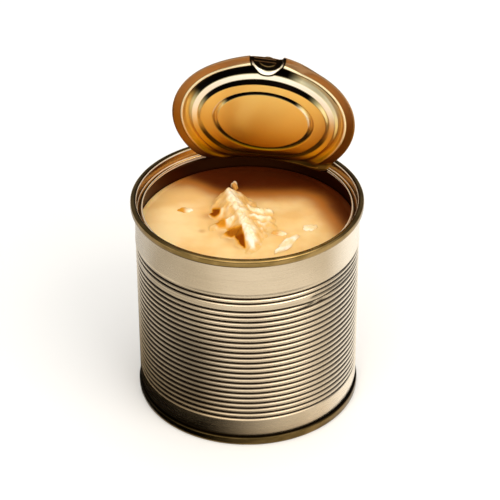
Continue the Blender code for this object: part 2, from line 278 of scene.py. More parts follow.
def wallTinplate():
    # tinplate under a clear lacquer, with fine level lines; painted shade low on the left, painted
    # highlights at the right and the far left, and painted shade in the beads' grooves
    material, tree, shader = newMaterial("wallTinplate", Metallic=1)
    stains = stretchedNoise(tree, 30, 2, (1, 1, 0.5))
    lines = stretchedNoise(tree, 60, 3, (1, 1, 30))
    base = mixColours(tree, ranged(tree, stains, 0.35, 0.65), "B8A68A", "CEBCA0")
    base = mixColours(tree, ranged(tree, lines, 0.3, 0.7, 0, 0.1), base, "A89878")
    place = addNode(tree, "ShaderNodeTexCoord").outputs["Object"]
    # by the way the wall faces: painted shade low on the left, painted highlights at the right and the far
    # left
    for aim, start, end, most, colour in (
        ((-0.5, 0, -1), -0.03, 0.01, 0.6, "AC8C58"),
        ((0.97, 0.24, 0), 0.027, 0.040, 0.9, "F4E8D4"),
        ((-0.97, -0.24, 0.2), 0.046, 0.054, 0.5, "F4E8D4"),
    ):
        base = mixColours(tree, ranged(tree, dotWith(tree, place, aim), start, end, 0, most), base, colour)
    # painted shade in the beads' grooves, at the neck, in the dent's crease and in patches low on the left
    base = mixColours(tree, fieldOf(tree, "groove"), base, "180C03")
    feed(shader, Base_Color=base, Roughness=ranged(tree, lines, 0.3, 0.7, 0.24, 0.3))
    return material


def seamTinplate():
    # the same sheet, folded into the seam, whose lacquer is thicker and more golden
    material, tree, shader = newMaterial("seamTinplate", Metallic=1, Roughness=0.2)
    stains = stretchedNoise(tree, 120, 2, (1, 1, 3))
    base = mixColours(tree, ranged(tree, stains, 0.35, 0.65), "7E6638", "9C804E")
    # painted shade darkens the seams: the top seam's foot and rim edge, and the bottom seam
    base = mixColours(tree, fieldOf(tree, "groove"), base, "0E0904")
    feed(shader, Base_Color=base)
    return material


def goldLacquer(name, high, low, roughness, dark="140D06"):
    # tinplate under gold epoxy-phenolic lacquer, blended from a pale to a deep colour: on the lid a
    # painted gradient of light, paler at the top; painted highlights turn it pale and less metallic, and
    # painted shade turns it dark
    material, tree, shader = newMaterial(name, Roughness=roughness)
    shine = fieldOf(tree, "shine")
    cloud = ranged(tree, stretchedNoise(tree, 30, 2), 0.3, 0.7, -0.03, 0.03)
    share = addNode(tree, "ShaderNodeMath", {"operation": "ADD"}, in0=fieldOf(tree, "low"), in1=cloud)
    base = mixColours(tree, share.outputs[0], high, low)
    base = mixColours(tree, shine, base, "FFF2DC")
    base = mixColours(tree, fieldOf(tree, "shade"), base, dark)
    feed(shader, Base_Color=base, Metallic=ranged(tree, shine, 0, 1, 1, 0.35),
         Normal=bumpFrom(tree, stretchedNoise(tree, 500, 1), 0.00001, 0.3))
    return material


def tabSteel():
    # plain pressed steel, duller than the lid, with rub marks
    material, tree, shader = newMaterial("tabSteel", Metallic=1)
    rub = stretchedNoise(tree, 300, 3, (1, 3, 1))
    base = mixColours(tree, ranged(tree, rub, 0.3, 0.7), "8E867A", "B4ADA0")
    feed(shader, Base_Color=base, Roughness=ranged(tree, rub, 0.3, 0.7, 0.26, 0.42))
    return material


def condensedSoup():
    # thick cream soup with fat in it: soft light inside, a wet gloss on top
    material, tree, shader = newMaterial("condensedSoup", IOR=1.4, Roughness=0.32,
                                         Subsurface_Weight=0.35, Subsurface_Scale=0.004,
                                         Subsurface_Radius=(1, 0.55, 0.25))
    base = mixColours(tree, ranged(tree, stretchedNoise(tree, 55, 3), 0.35, 0.68), "EEC07A", "FADA9E")
    # painted shade: browner, then near black, at the back under the lid, at the right and at the heap's foot
    deep = fieldOf(tree, "deep")
    base = mixColours(tree, ranged(tree, deep, 0, 0.75), base, "B46E2A")
    base = mixColours(tree, ranged(tree, deep, 0.68, 1), base, "541E04")
    feed(shader, Base_Color=base, Normal=bumpFrom(tree, stretchedNoise(tree, 260, 3), 0.0004, 0.35))
    return material


def cookedChicken():
    # poached white meat pulled apart: pale fibres, painted shade in brown on the heap's faces left of the
    # main crest, and brown on one side of the small bits
    material, tree, shader = newMaterial("cookedChicken", IOR=1.33, Roughness=0.5,
                                         Subsurface_Weight=0.12, Subsurface_Scale=0.002,
                                         Subsurface_Radius=(1, 0.6, 0.3))
    base = mixColours(tree, ranged(tree, stretchedNoise(tree, 260, 4), 0.35, 0.65), "F6D8A0", "FFF6DE")
    base = mixColours(tree, fieldOf(tree, "olive"), base, "E8B96E")
    sauce = fieldOf(tree, "sauce")
    # brown and deep brown with less gloss: painted shade on the heap's faces, and brown on one side of the
    # bits
    base = mixColours(tree, ranged(tree, sauce, 0, 0.7), base, "DC9424")
    base = mixColours(tree, ranged(tree, sauce, 0.6, 1), base, "8A4000")
    feed(shader, Base_Color=base, Specular_IOR_Level=ranged(tree, sauce, 0, 0.7, 0.4, 0.05),
         Normal=bumpFrom(tree, stretchedNoise(tree, 450, 3, (1, 2.5, 1)), 0.0004, 0.3))
    return material


wallMetal, seamMetal, tabMetal = wallTinplate(), seamTinplate(), tabSteel()
# the lid's pale and deep colours are blended from its top to its foot as a painted gradient of light
lidGold = goldLacquer("lidGold", "FCEEB0", "D29A08", 0.3, "050302")
flangeGold = goldLacquer("flangeGold", "BE946C", "966420", 0.3, "050302")
outerGold = goldLacquer("outerGold", "D8B878", "B08C44", 0.28)
ringGold = goldLacquer("ringGold", "CE9C3C", "84480E", 0.18)
# painted shade: the can's inner lacquer is given a near-black brown
innerGold = goldLacquer("innerGold", "4A2810", "2C1406", 0.35)
soupMatter, chickenMatter = condensedSoup(), cookedChicken()
print("materials made")


# the can's wall

wallSettings = {
    "radius": 42,
    "lining": 41,
    "sheet": 0.3,
    "steps": 288,
    "bandDrop": 15.3,  # the plain upper band ends this far below the rim
    "shoulder": 0.15,  # the first bead stands this far proud of the band
    "beadPitch": 2.306,
    "beadDepth": 0.6,
    "beadCount": 22,
    "firstBead": 23.45,
    "upperBeads": (17.7, 19.8),
    "upperPitch": 2.1,
    "faintBead": 21.7,
    "faintDepth": 0.12,
    "splitAt": -45,  # from this angle on, in degrees, the faint bead is a full one
    "dent": (-42.5, 59, 7, 0.9, 0.5),  # angle, height, half width, half height, depth
    "creaseDrop": 25.3,  # the dent's crease starts here and climbs to the right
    "creaseClimb": 1.2,
    "smudge": (6.5, 25.1, 2.8, 0.8, 0.8),  # degrees past the dent, drop, half sizes, share
    # patches of painted shade low on the left: angle, half width, share, from this drop, over this many
    # millimetres
    "dull": ((-103, 17, 0.5, 24, 20), (-72, 30, 0.2, 20, 6)),
    "rowsPerBead": 13,
}


def wallRelief(drop, angle):
    # how far the wall lies inside its radius: cosines to a power, for broad ridges and
    # narrow grooves, bent where the wall was knocked; and the share of painted shade in the grooves, the
    # crease and patches low on the left
    s = wallSettings
    degrees = (np.degrees(angle) + 180) % 360 - 180
    full = past(degrees, s["splitAt"], 5) * (1 - past(degrees, 60, 60))
    knock = bump(degrees, s["dent"][0] + 3, 9)
    shifted = drop - 0.55 * knock * bump(drop, rim - s["dent"][1] - 1.5, 1.6)
    run = (shifted - s["firstBead"]) / s["beadPitch"]
    inRun = (run > -0.5) & (run < s["beadCount"] - 0.5)
    wave = np.where(inRun, 0.5 + 0.5 * np.cos(tau * run), 0)
    for centre in s["upperBeads"]:
        t = (drop - centre) / s["upperPitch"]
        wave = np.where(abs(t) < 0.5, 0.5 + 0.5 * np.cos(tau * t), wave)
    faint = bump(drop, s["faintBead"], 0.36 + 0.16 * full) * (s["faintDepth"] + 0.86 * full)
    atDegrees, atHeight, halfWidth, halfHeight, depth = s["dent"]
    slant = s["creaseDrop"] - s["creaseClimb"] * past(degrees, atDegrees - 6, 12)
    crease = bump(degrees, atDegrees - 2.5, halfWidth * 1.2) * bump(drop, slant, 0.34)
    beyond, smudgeDrop, wide, high, share = s["smudge"]
    smudge = share * bump(degrees, atDegrees + beyond, wide) * bump(drop, smudgeDrop, high)
    crease = np.maximum(crease, smudge)
    relief = wave**1.5 * s["beadDepth"] + 0.5 * faint
    relief = relief + depth * (0.5 * crease + 0.9 * knock * bump(drop, rim - atHeight, halfHeight * 2))
    shoulder = s["shoulder"] * past(drop, s["bandDrop"], 0.8) * (1 - past(drop, 16.4, 0.6))
    # painted shade: in the grooves, on the faint bead and in the dent's crease, then in patches low on the
    # left
    film = np.maximum(past(wave, 0.53, 0.27), np.maximum(faint, 0.97 * crease))
    film = np.minimum(film * (1 - 0.1 * np.sin(angle + 1.2)), 1)
    dull = sum(share * bump(degrees, at, wide) * past(drop, start, over)
               for at, wide, share, start, over in s["dull"])
    film = 1 - (1 - film) * (1 - dull * (1 - past(drop, 66, 10)))
    return relief - shoulder, film


def makeWall():
    # the relief down to the neck above the bottom seam, then the plain lining back up
    s = wallSettings
    last = s["firstBead"] + (s["beadCount"] - 0.5) * s["beadPitch"]
    beads = np.arange(15, last, s["beadPitch"] / s["rowsPerBead"])
    drop = np.concatenate([np.linspace(1.3, 14.8, 9), beads, np.linspace(last, rim - 6.4, 8)])
    angle = anglesRound(s["steps"])
    relief, groove = wallRelief(drop[:, None], angle)
    neck = np.array([(41.9, 5.9), (41.8, 5.2), (41.7, 4.4), (41.5, 3.6), (41.3, 1.1)])
    inner = np.array([(41, 1.1), (s["lining"], 3), (s["lining"], 40), (s["lining"], rim - 6.7),
                      (s["radius"] - s["sheet"], rim - 6), (s["radius"] - s["sheet"], rim - 1.3)])
    ends = np.vstack([neck, inner])
    radius = np.vstack([s["radius"] - relief, ends[:, :1] + 0 * angle])
    height = np.concatenate([rim - drop, ends[:, 1]])[:, None]
    film = np.array([0, 0, 0.3, 0.8, 0.8])[:, None] + 0 * angle  # painted shade at the neck's foot
    field = np.vstack([groove, film, np.zeros((len(inner), s["steps"]))])
    outer = len(drop) + len(neck)
    slotOfRow = [0] * outer + [1] * (len(radius) - outer)
    piece = pieceFromGrid("beadedWall", turned(radius, height, angle), wrapRows=True,
                          slots=(wallMetal, innerGold), slotOfRow=slotOfRow, sharp=40, groove=field)
    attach(piece, "can")
    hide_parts("can_body")


# the top ring: double seam, chuck wall, countersink and torn ledge

ringSettings = {
    "steps": 288,
    "seamDrop": 3.1,
    "aperture": 38.9,
    "ledge": shutPanel + 0.2,
    "sheet": 0.4,
    "filletSteps": 5,
    "goldFrom": 6,  # from this corner on the lacquered face shows
}
shelfSettings = {
    "ends": 27.7,
    "bow": 6.3,
    "half": 24.9,
    "reach": 21.6,
    "sheet": 0.32,
    "outer": 39.1,
    "widening": 1.14,  # it is this much wider at the ring than along the fold
}


def makeRing():
    # one closed outline turned about the axis, from the seam's foot over the rim and down
    # the chuck wall to the torn ledge, and back under the sheet
    s = ringSettings
    foot, ledge, under = rim - s["seamDrop"], s["ledge"], s["ledge"] - s["sheet"]
    corners = [
        (42.2, foot, 0.1), (42.95, foot, 0.25), (seamRadius, rim - 2.5, 0.5),
        (seamRadius, rim - 0.35, 0.5), (42.75, rim, 0.35), (41.7, rim, 0.3),
        (41.25, rim - 0.55, 0.3), (40.95, rim - 3.8, 0.35), (40.35, rim - 4.5, 0.3),
        (39.75, rim - 4.5, 0.3), (39.35, ledge, 0.35), (39.15, ledge, 0.1),
        (s["aperture"], ledge - 0.05, 0.04), (s["aperture"] + 0.05, under, 0.04), (39.25, under, 0.1),
        (39.5, rim - 4.9, 0.3), (40.6, rim - 4.9, 0.3), (41.45, rim - 4, 0.2),
        (41.5, rim - 1, 0.05), (42.2, rim - 1, 0.05),
    ]
    profile = filleted(corners, s["filletSteps"])
    angle = anglesRound(s["steps"])
    radius, height = profile[:, :1], profile[:, 1:]
    torn = bump(radius, s["aperture"], 0.25)  # the score tears unevenly
    height = height + torn * 0.05 * ripples(angle * 36, 0 * angle, 1.4, 3)
    plain = s["goldFrom"] * s["filletSteps"]
    slotOfRow = [0] * plain + [1] * (len(profile) - plain)
    # painted shade at the seam's foot, on the rim's top edge, in the countersink and on the flat ledge, which
    # also takes the deep colour; painted highlights on the rim's inner corner, the chuck wall's foot and the
    # ledge's edge
    inside = smooth((rim - 0.9 - height) / 1) * smooth((41.6 - radius) / 0.5)
    flat = inside * smooth((s["aperture"] - radius) / 0.4)
    groove = 0.85 * bump(height, foot, 0.35) * past(radius, 41.8, 0.3)
    lip = 0.95 * bump(radius, 41.8, 0.25) * past(height, rim - 1.3, 0.5)
    edge = 0.9 * smooth((41.55 - radius) / 0.12) * past(height, rim - 0.8, 0.2)
    gutter = 0.85 * smooth((rim - 4.2 - height) / 0.2) * past(radius, 39.5, 0.3)
    bottom = bump(height, rim - 3.75, 0.22) * past(radius, 40.6, 0.2)
    shine = np.maximum(np.maximum(bump(radius, 39.3, 0.35), bottom) * inside, edge)
    return pieceFromGrid("topRing", turned(radius, height, angle), wrapRows=True,
                         slots=(seamMetal, ringGold), slotOfRow=slotOfRow, sharp=50,
                         groove=np.maximum(groove, lip), shade=np.maximum(gutter, 0.5 * flat),
                         shine=shine, low=0.1 + 0.9 * flat)


def shelfEdge(x):
    # the fold's line on the shelf bows back between its two ends
    s = shelfSettings
    return s["ends"] + s["bow"] * (1 - (x / s["half"]) ** 2)


def makeShelf():
    # the end's sheet behind the fold, from the fold's line back to the ring's ledge
    s = shelfSettings
    x = np.linspace(-s["reach"], s["reach"], 97)[None, :]
    share = np.linspace(0, 1, 16)[:, None]
    wide = x * (1 + (s["widening"] - 1) * smooth(share))
    near, far = shelfEdge(x), np.sqrt(s["outer"] ** 2 - (s["widening"] * x) ** 2)
    y = near + (far - near) * share
    top = np.stack([wide, y, ringSettings["ledge"] - 0.04 + 0 * y], -1)
    under = top[::-1] - np.array([0, 0, s["sheet"]])
    # painted shade: the shelf under the leaning lid is darkened all over and takes the deep colour
    return pieceFromGrid("shelfBehindFold", np.concatenate([top, under]), wrapRows=True, wrapCols=False,
                         slots=(ringGold,), shade=0.3, low=1)


makeWall()
for piece in (makeRing(), makeShelf()):
    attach(piece, "can")
    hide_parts("end_ring")
print("wall and ring made")


# the bottom end

baseSettings = {"steps": 192, "panel": 3.7, "sheet": 0.4, "ringAt": 32.7, "ringRise": 0.6}


def makeBase():
    # the panel's two faces and the seam's outline, turned about the axis as one profile
    s = baseSettings
    underR = np.concatenate([[0], np.linspace(6, 38.3, 60)])
    underZ = s["panel"] + s["ringRise"] * smooth(1.6 - abs(underR - s["ringAt"]) / 0.9)
    upperZ = underZ[::-1] + s["sheet"]
    seam = np.array([
        (38.9, 3.95), (39.2, 4.4), (39.6, 4.5), (40, 4.4), (40.35, 4), (40.4, 3.4), (40.42, 0.5),
        (40.5, 0.15), (40.8, 0), (42, 0), (42.35, 0.12), (baseRadius - 0.05, 0.4),
        (baseRadius, 0.8), (baseRadius, 2.5), (baseRadius - 0.06, 2.9), (42.4, 3.2), (42.1, 3.3),
        (41.6, 3.3), (41.6, 0.8), (40.8, 0.8), (40.8, 4.2), (40.7, 4.7), (40.4, 4.9),
        (39.3, 4.9), (38.8, 4.6), (38.5, 4.2),
    ])
    radius = np.concatenate([underR, seam[:, 0], underR[::-1]])[:, None]
    height = np.concatenate([underZ, seam[:, 1], upperZ])[:, None]
    angle = anglesRound(s["steps"])
    # painted shade over the whole bottom seam, strongest along its top
    film = 0.35 + 0.6 * bump(height, 3.3, 0.4)
    piece = pieceFromGrid("baseEnd", turned(radius, height, angle), slots=(seamMetal,), sharp=50, groove=film)
    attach(piece, "can")
    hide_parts("can_bottom")


makeBase()

# the lid, formed in its shut place and then stood up about the crease

lidSettings = {
    "radius": 34.2,
    "aside": -0.9,  # how far the torn lid has slipped to one side
    "sheet": 0.4,
    "turns": ((0, 76, 100), (76, 104, 90), (104, 360, 130)),  # from, to, steps, in degrees
    "rings": ((0, 0.45, 12), (0.45, 1, 130)),  # from, to, rings, as shares of the radius
    "openAngle": 72.6,
    # a + b x + c x^2: where the lid ends at the fold, and how far it is bent outwards there
    "end": (28.6, -0.1175, -0.0036),
    "lift": (6, -0.077, -0.0101),
    "liftFrom": 18,
    # (radius, height towards the soup): disc, groove, panel, crest, channel, step, flange
    "pressing": ((0, 0.5), (17.1, 0.5), (17.7, -0.4), (18.2, -0.4), (18.9, 0.5), (23.5, 0.5), (24.5, 0.1),
                 (24.9, 0.1), (26.8, 0.15), (27.9, -0.6), (29.3, -0.6), (30.2, 0.2), (30.6, 0.3),
                 (31, 0), (33.8, 0), (34.2, -0.15)),
    # (radius, slope): the pressed middle leans out of the flange's plane
    "leaning": ((0, 0.13), (23.6, 0.13), (24.6, 0.08), (26.8, 0.05), (30.4, 0.02), (40, 0.02)),
    "twist": 0.05,
    "pulled": (4, 13, 1.7),  # the top edge is pulled outwards here: place, half width, depth
    "flangeFrom": 0.905,  # share of the radius outside which the sheet is the flange
    "rounding": 0.45,  # millimetres over which the press rounds each corner
    "flatOver": 2,  # the pressing dies out towards the fold
    "cupCentre": -32.7,  # the cup that holds the tab's nose, open to the edge
    "cupRadius": 5.9,
    "cupFloor": -0.2,
    "cupWall": 0.8,
    # bands of painted shade and painted highlight: a span in degrees from the standing lid's top,
    # a span of radius, each with the width of its soft ends, and how strong the band is
    "darkBands": (
        ((-68, 28, 20), (26.9, 30.1, 0.4), 1),
        ((24, 78, 26), (26.9, 29.8, 0.6), 0.45),
        ((0, 66, 12), (29.3, 30.2, 0.35), 1),
        ((-70, 56, 26), (23.3, 24.8, 0.35), 1),
        ((-56, 50, 16), (17, 18.9, 0.35), 1),
    ),
    "bareBands": (
        ((-92, 84, 44), (24.8, 26.8, 0.3), 1),
        ((24, 78, 26), (26.9, 29.8, 0.6), 0.4),
        ((-115, 115, 50), (30.2, 30.8, 0.25), 0.6),
        ((-82, -48, 14), (18.6, 19.2, 0.3), 0.6),
        ((44, 92, 16), (16.7, 17.3, 0.35), 0.6),
    ),
    "lowFrom": 92,  # the lid's lower part begins this many degrees from its top
    "lowBands": ((16.9, 18.8, 0.95), (23.1, 25, 0.92)),  # painted shade on the lower part: from, to, how dark
    # painted highlight rims round the cup and painted highlight lines across it: from, to, soft ends, how
    # bright
    "cupRims": ((5.4, 6.05, 0.2, 1), (3, 3.5, 0.3, 0.25)),
    "cupLines": ((-33.6, -33.2, 0.25, 0.3), (-32, -31.6, 0.25, 0.22)),
}


def along(terms, x):
    return terms[0] + terms[1] * x + terms[2] * x * x


def fromCup(x, y):
    # distance from the cup's spine, which runs from its centre straight out to the edge
    return np.hypot(x + lidSettings["aside"], np.maximum(y - lidSettings["cupCentre"], 0))


def lidHeight(x, y):
    # the turned pressing, its corners rounded by averaging, with the cup sunk in it round
    # its spine, less the bend outwards, which grows as a square towards the fold
    s = lidSettings
    table = np.array(s["pressing"])
    fine = np.arange(0, s["radius"] + 2, 0.05)
    pressed = np.interp(fine, table[:, 0], table[:, 1])
    window = np.hanning(int(s["rounding"] / 0.05) * 2 + 3)
    padded = np.pad(pressed, len(window) // 2, mode="edge")
    pressed = np.convolve(padded, window / window.sum(), "valid")
    radius = np.hypot(x, y)
    slope = np.interp(radius, *np.array(s["leaning"]).T)
    place, width, depth = s["pulled"]
    pull = depth * bump(x, place, width) * past(-y, 27, 5)
    height = np.interp(radius, fine, pressed) - slope * y - s["twist"] * x - pull
    cup = smooth((s["cupRadius"] - fromCup(x, y)) / s["cupWall"])
    height = height * (1 - cup) + s["cupFloor"] * cup
    end = along(s["end"], x)
    lift = along(s["lift"], x)
    lift = (lift + np.sqrt(lift**2 + 0.4)) / 2
    bend = lift * (np.maximum(y - s["liftFrom"], 0) / (end - s["liftFrom"])) ** 2
    return height * past(end, y, s["flatOver"]) - bend


def lidReach(angle):
    # from the centre to the circle, or to the fold's line: the nearer root of
    # r sin = a + b r cos + c r^2 cos^2
    s = lidSettings
    a, b, c = s["end"]
    slope = np.sin(angle) - b * np.cos(angle)
    root = 2 * a / (slope + np.sqrt(np.maximum(slope**2 - 4 * a * c * np.cos(angle) ** 2, 0)))
    trimmed = s["radius"] - 0.3 * smooth((0.17 - abs(np.cos(angle))) / 0.02) * (np.sin(angle) < 0)
    return np.where(np.sin(angle) > 0.3, np.minimum(root, s["radius"]), trimmed)


def lidFilm(x, y):
    # painted shade and painted highlights on the inner face: near the top the channel, the crest's
    # inner flank and the groove get painted shade and its outer flank a painted highlight; lower down
    # both steps, the foot and the end by the fold get painted shade, the cup is painted dark, and thin rims
    # and lines in it get painted highlights
    s = lidSettings
    radius, turn = np.hypot(x, y), np.degrees(np.arctan2(x, -y))
    shade, shine = (
        np.max([strength * band(turn, *span) * band(radius, *ring) for span, ring, strength in bands], axis=0)
        for bands in (s["darkBands"], s["bareBands"])
    )
    low = past(abs(turn), s["lowFrom"], 25)
    for start, end, strength in s["lowBands"]:
        shade = np.maximum(shade, strength * low * band(radius, start, end, 0.7))
    shade = np.maximum(shade, 0.62 * past(y, 14, 8))
    shade = np.maximum(shade, 0.85 * past(y, along(s["end"], x) - 4.5, 3) * (abs(x) < 25))
    spine = fromCup(x, y)
    lower = past(y, s["cupCentre"] + 0.4, 3.5)
    cup = smooth((s["cupRadius"] + 0.9 - spine) / 0.3)
    shade = shade * (1 - cup) + cup
    rims = lower * sum(strength * band(spine, *ring) for *ring, strength in s["cupRims"])
    lines = sum(strength * band(y, *span) for *span, strength in s["cupLines"])
    bare = np.clip(rims + lines * smooth((4.2 - abs(x)) / 0.4), 0, 1) * cup
    return shade * (1 - bare), np.maximum(shine * (1 - cup), bare)


def makeLid():
    # the sheet's two faces on one polar grid, joined round the edge and stood up
    s = lidSettings
    angle = np.concatenate([np.linspace(a, b, n, endpoint=False) for a, b, n in s["turns"]])
    angle = np.radians(angle + 180)[None, :]
    share = np.concatenate([np.linspace(a, b, n, endpoint=b == 1) for a, b, n in s["rings"]])[:, None]
    reach = lidReach(angle)
    x, y = share * reach * np.cos(angle), share * reach * np.sin(angle)
    sheet = shutPanel - lidHeight(x, y)
    inner, outer = (np.stack([x + s["aside"], y, sheet + side * s["sheet"] / 2], -1) for side in (-1, 1))
    loop = standUp(np.concatenate([inner, outer[::-1]]))
    shade, shine = (np.vstack([film, 0 * film]) for film in lidFilm(x, y))
    # painted gradient of light: the colour deepens from the lid's top to its foot, on both faces, and is
    # deeper on the flange
    low = past(y, -24, 44) + 0.35 * past(np.hypot(x, y), 30.8, 0.6)
    face = [2 if at > s["flangeFrom"] else 0 for at in share[:-1, 0]]
    piece = pieceFromGrid("lidPanel", loop, slots=(lidGold, outerGold, flangeGold), sharp=55,
                          slotOfRow=face + [2] + [1] * (len(share) - 1),
                          shade=shade, shine=shine, low=np.vstack([low, low[::-1]]))
    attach(piece, "lid")
    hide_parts("lid_panel")


def makeRivet():
    # stem and domed head on the lid's outer side, turned about the rivet's own axis
    profile = np.array([(0, 0.3), (1.7, 0.3), (1.7, 2.2), (2.6, 2.25), (3, 2.4), (2.95, 2.6), (2.5, 2.75),
                        (1.6, 2.8), (1.2, 2.65), (0, 2.6)])
    grid = turned(profile[:, :1], profile[:, 1:], anglesRound(48)) + np.array([0, -29, shutPanel])
    piece = pieceFromGrid("tabRivet", standUp(grid), slots=(outerGold,), sharp=60, low=0.3)
    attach(piece, "lid")


makeLid()
makeRivet()

# the ring pull

tabSettings = {
    "halfWidth": 10.4,
    "halfLength": 12.9,
    "centre": -19.4,  # places along the lid, from the can's axis
    "holeCentre": -15.6,
    "holeHalf": (7.2, 5.8),
    "middle": 1.7,  # how far the tab's middle lies outside the lid's sheet
    "web": 0.26,
    "curl": 0.2,
    "steps": 144,
    "across": 18,
}


def superEllipse(angle, halfX, halfY, power):
    c, s = np.cos(angle), np.sin(angle)
    return halfX * np.sign(c) * abs(c) ** (2 / power), halfY * np.sign(s) * abs(s) ** (2 / power)


def makeTab():
    # between an outer outline and the finger hole's; the section is a thin web whose two
    # edges are curled, so its half thickness has a bell near each edge
    s = tabSettings
    angle = anglesRound(s["steps"])[0]
    x, y = superEllipse(angle, s["halfWidth"], s["halfLength"], 2.4)
    x = x * (1 - 0.34 * past(-y, 2, 11.6))
    outer = np.stack([x, s["centre"] + y], -1)
    x, y = superEllipse(angle, *s["holeHalf"], 2.2)
    inner = np.stack([x, s["holeCentre"] + y], -1)
    share = 0.5 - 0.5 * np.cos(np.linspace(0, np.pi, s["across"]))[:, None]
    width = np.linalg.norm(outer - inner, axis=1)[None, :]
    fromOuter, fromInner = share * width, (1 - share) * width
    curls = bump(fromOuter, 0.75, 0.6) + bump(fromInner, 0.7, 0.55)
    edge = np.sqrt(np.clip(np.minimum(fromOuter, fromInner) / 0.4, 0, 1))
    half = (s["web"] + s["curl"] * curls) * edge
    plan = outer[None] * (1 - share[..., None]) + inner[None] * share[..., None]
    top, low = (np.concatenate([plan, (shutPanel + s["middle"] + rise)[..., None]], -1)
                for rise in (half, -half))
    loop = np.concatenate([top, low[-2:0:-1]])
    piece = pieceFromGrid("ringPull", standUp(loop), wrapRows=True, slots=(tabMetal,))
    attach(piece, "lid")
    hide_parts("pull_tab")


makeTab()

# the fold that joins the shelf and the lid

foldSettings = {"sheet": 0.46, "rows": 20, "cols": 97, "overlap": 0.8, "pull": 1.1}


def makeFold():
    # a Hermite curve at each place along the fold: it leaves the lid's end in the lid's
    # own direction and comes into the shelf level, then the sheet's thickness is added
    s = foldSettings
    u = np.linspace(-1, 1, s["cols"])[None, :]
    lidX = 1.6 + 20.4 * u

    def onLid(back):
        y = np.minimum(along(lidSettings["end"], lidX), np.sqrt(lidSettings["radius"] ** 2 - lidX**2)) - back
        placed = lidX + lidSettings["aside"]
        return standUp(np.stack([placed, y, shutPanel - lidHeight(lidX, y)], -1))

    start = onLid(s["overlap"])
    leave = onLid(0) - start
    leave /= np.linalg.norm(leave, axis=-1, keepdims=True)
    shelfX = shelfSettings["reach"] * u
    finish = np.stack([shelfX, shelfEdge(shelfX) + s["overlap"], ringSettings["ledge"] - 0.2 + 0 * u], -1)
    arrive = np.array([0, 1, 0])
    pull = s["pull"] * np.linalg.norm(finish - start, axis=-1, keepdims=True)
    t = np.linspace(0, 1, s["rows"])[:, None, None]
    middle = (2 * t**3 - 3 * t**2 + 1) * start + (t**3 - 2 * t**2 + t) * pull * leave
    middle = middle + (3 * t**2 - 2 * t**3) * finish + (t**3 - t**2) * pull * arrive
    down, across = np.gradient(middle, axis=0), np.gradient(middle, axis=1)
    normal = np.cross(down, across)
    normal /= np.linalg.norm(normal, axis=-1, keepdims=True)
    half = (s["sheet"] / 2 * smooth((1 - abs(u)) / 0.03))[..., None]
    loop = np.concatenate([middle + normal * half, (middle - normal * half)[::-1]])
    # painted shade over the whole fold, which also takes a deeper colour
    piece = pieceFromGrid("creaseFold", loop, wrapRows=True, wrapCols=False, slots=(ringGold,),
                          shade=0.4, low=0.6)
    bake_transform(piece)


makeFold()
print("lid, ring pull and fold made")

# the soup

soupSettings = {
    "radius": 40.75,
    "rings": 120,
    "steps": 256,
    "meniscus": 0.45,
    "meniscusFrom": 38.6,
    "wave": 0.14,
    "floor": 5.2,
    "darkFrom": 10,  # this far back the painted shade under the lid begins
    "darkOver": 22,
    "darkLater": 9,  # it begins this much further back at the left
    # painted shadow at the heap's foot: to the right and back as seen, reach, strength
    "stains": ((-14.5, 5.5, 3.6, 0.4), (-12.2, -1, 3, 0.3), (-17, -4.6, 1.6, 0.35),
               (-9, -6.5, 3, 0.35), (-6.2, -10.5, 3, 0.35), (-3.2, -15, 2.6, 0.3)),
}


def makeSoup():
    # a disc with slow waves that climbs a little at the wall, closed by a plain side; painted shade
    # darkens it at the back under the lid and at the right, and painted shadow browns it at the heap's foot
    s = soupSettings
    share = np.linspace(0, 1, s["rings"]) ** 0.6
    angle = anglesRound(s["steps"])
    radius = (share * s["radius"])[:, None]
    x, y = radius * np.cos(angle), radius * np.sin(angle)
    climb = s["meniscus"] * past(radius, s["meniscusFrom"], 2.2)
    waves = s["wave"] * ripples(x, y, 17, 5) + 0.05 * ripples(x, y, 6, 6)
    height = soupLevel - 0.1 + climb + waves * smooth((s["radius"] - radius) / 3)
    side = np.array([(s["radius"], 40), (s["radius"], s["floor"]), (0, s["floor"])])
    radius = np.vstack([radius, side[:, :1]])
    height = np.vstack([height, side[:, 1:] + 0 * angle])
    right, back = asSeen(x, y)
    atBack = past(back, s["darkFrom"] + s["darkLater"] * past(-right, 8, 16), s["darkOver"])
    atRight = past(right, 19 + 0.4 * np.maximum(12 - back, 0), 17)
    clear = ((1 - atBack) * (1 - 0.85 * atRight)) ** 1.6
    for toRight, toBack, reach, strength in s["stains"]:
        clear = clear * (1 - strength * bump(np.hypot(right - toRight, back - toBack), 0, reach))
    deep = np.vstack([1 - clear, np.zeros((len(side), s["steps"]))])
    piece = pieceFromGrid("creamSoup", turned(radius, height, angle), slots=(soupMatter,), deep=deep)
    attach(piece, "can")
    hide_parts("soup")


makeSoup()

# the chicken

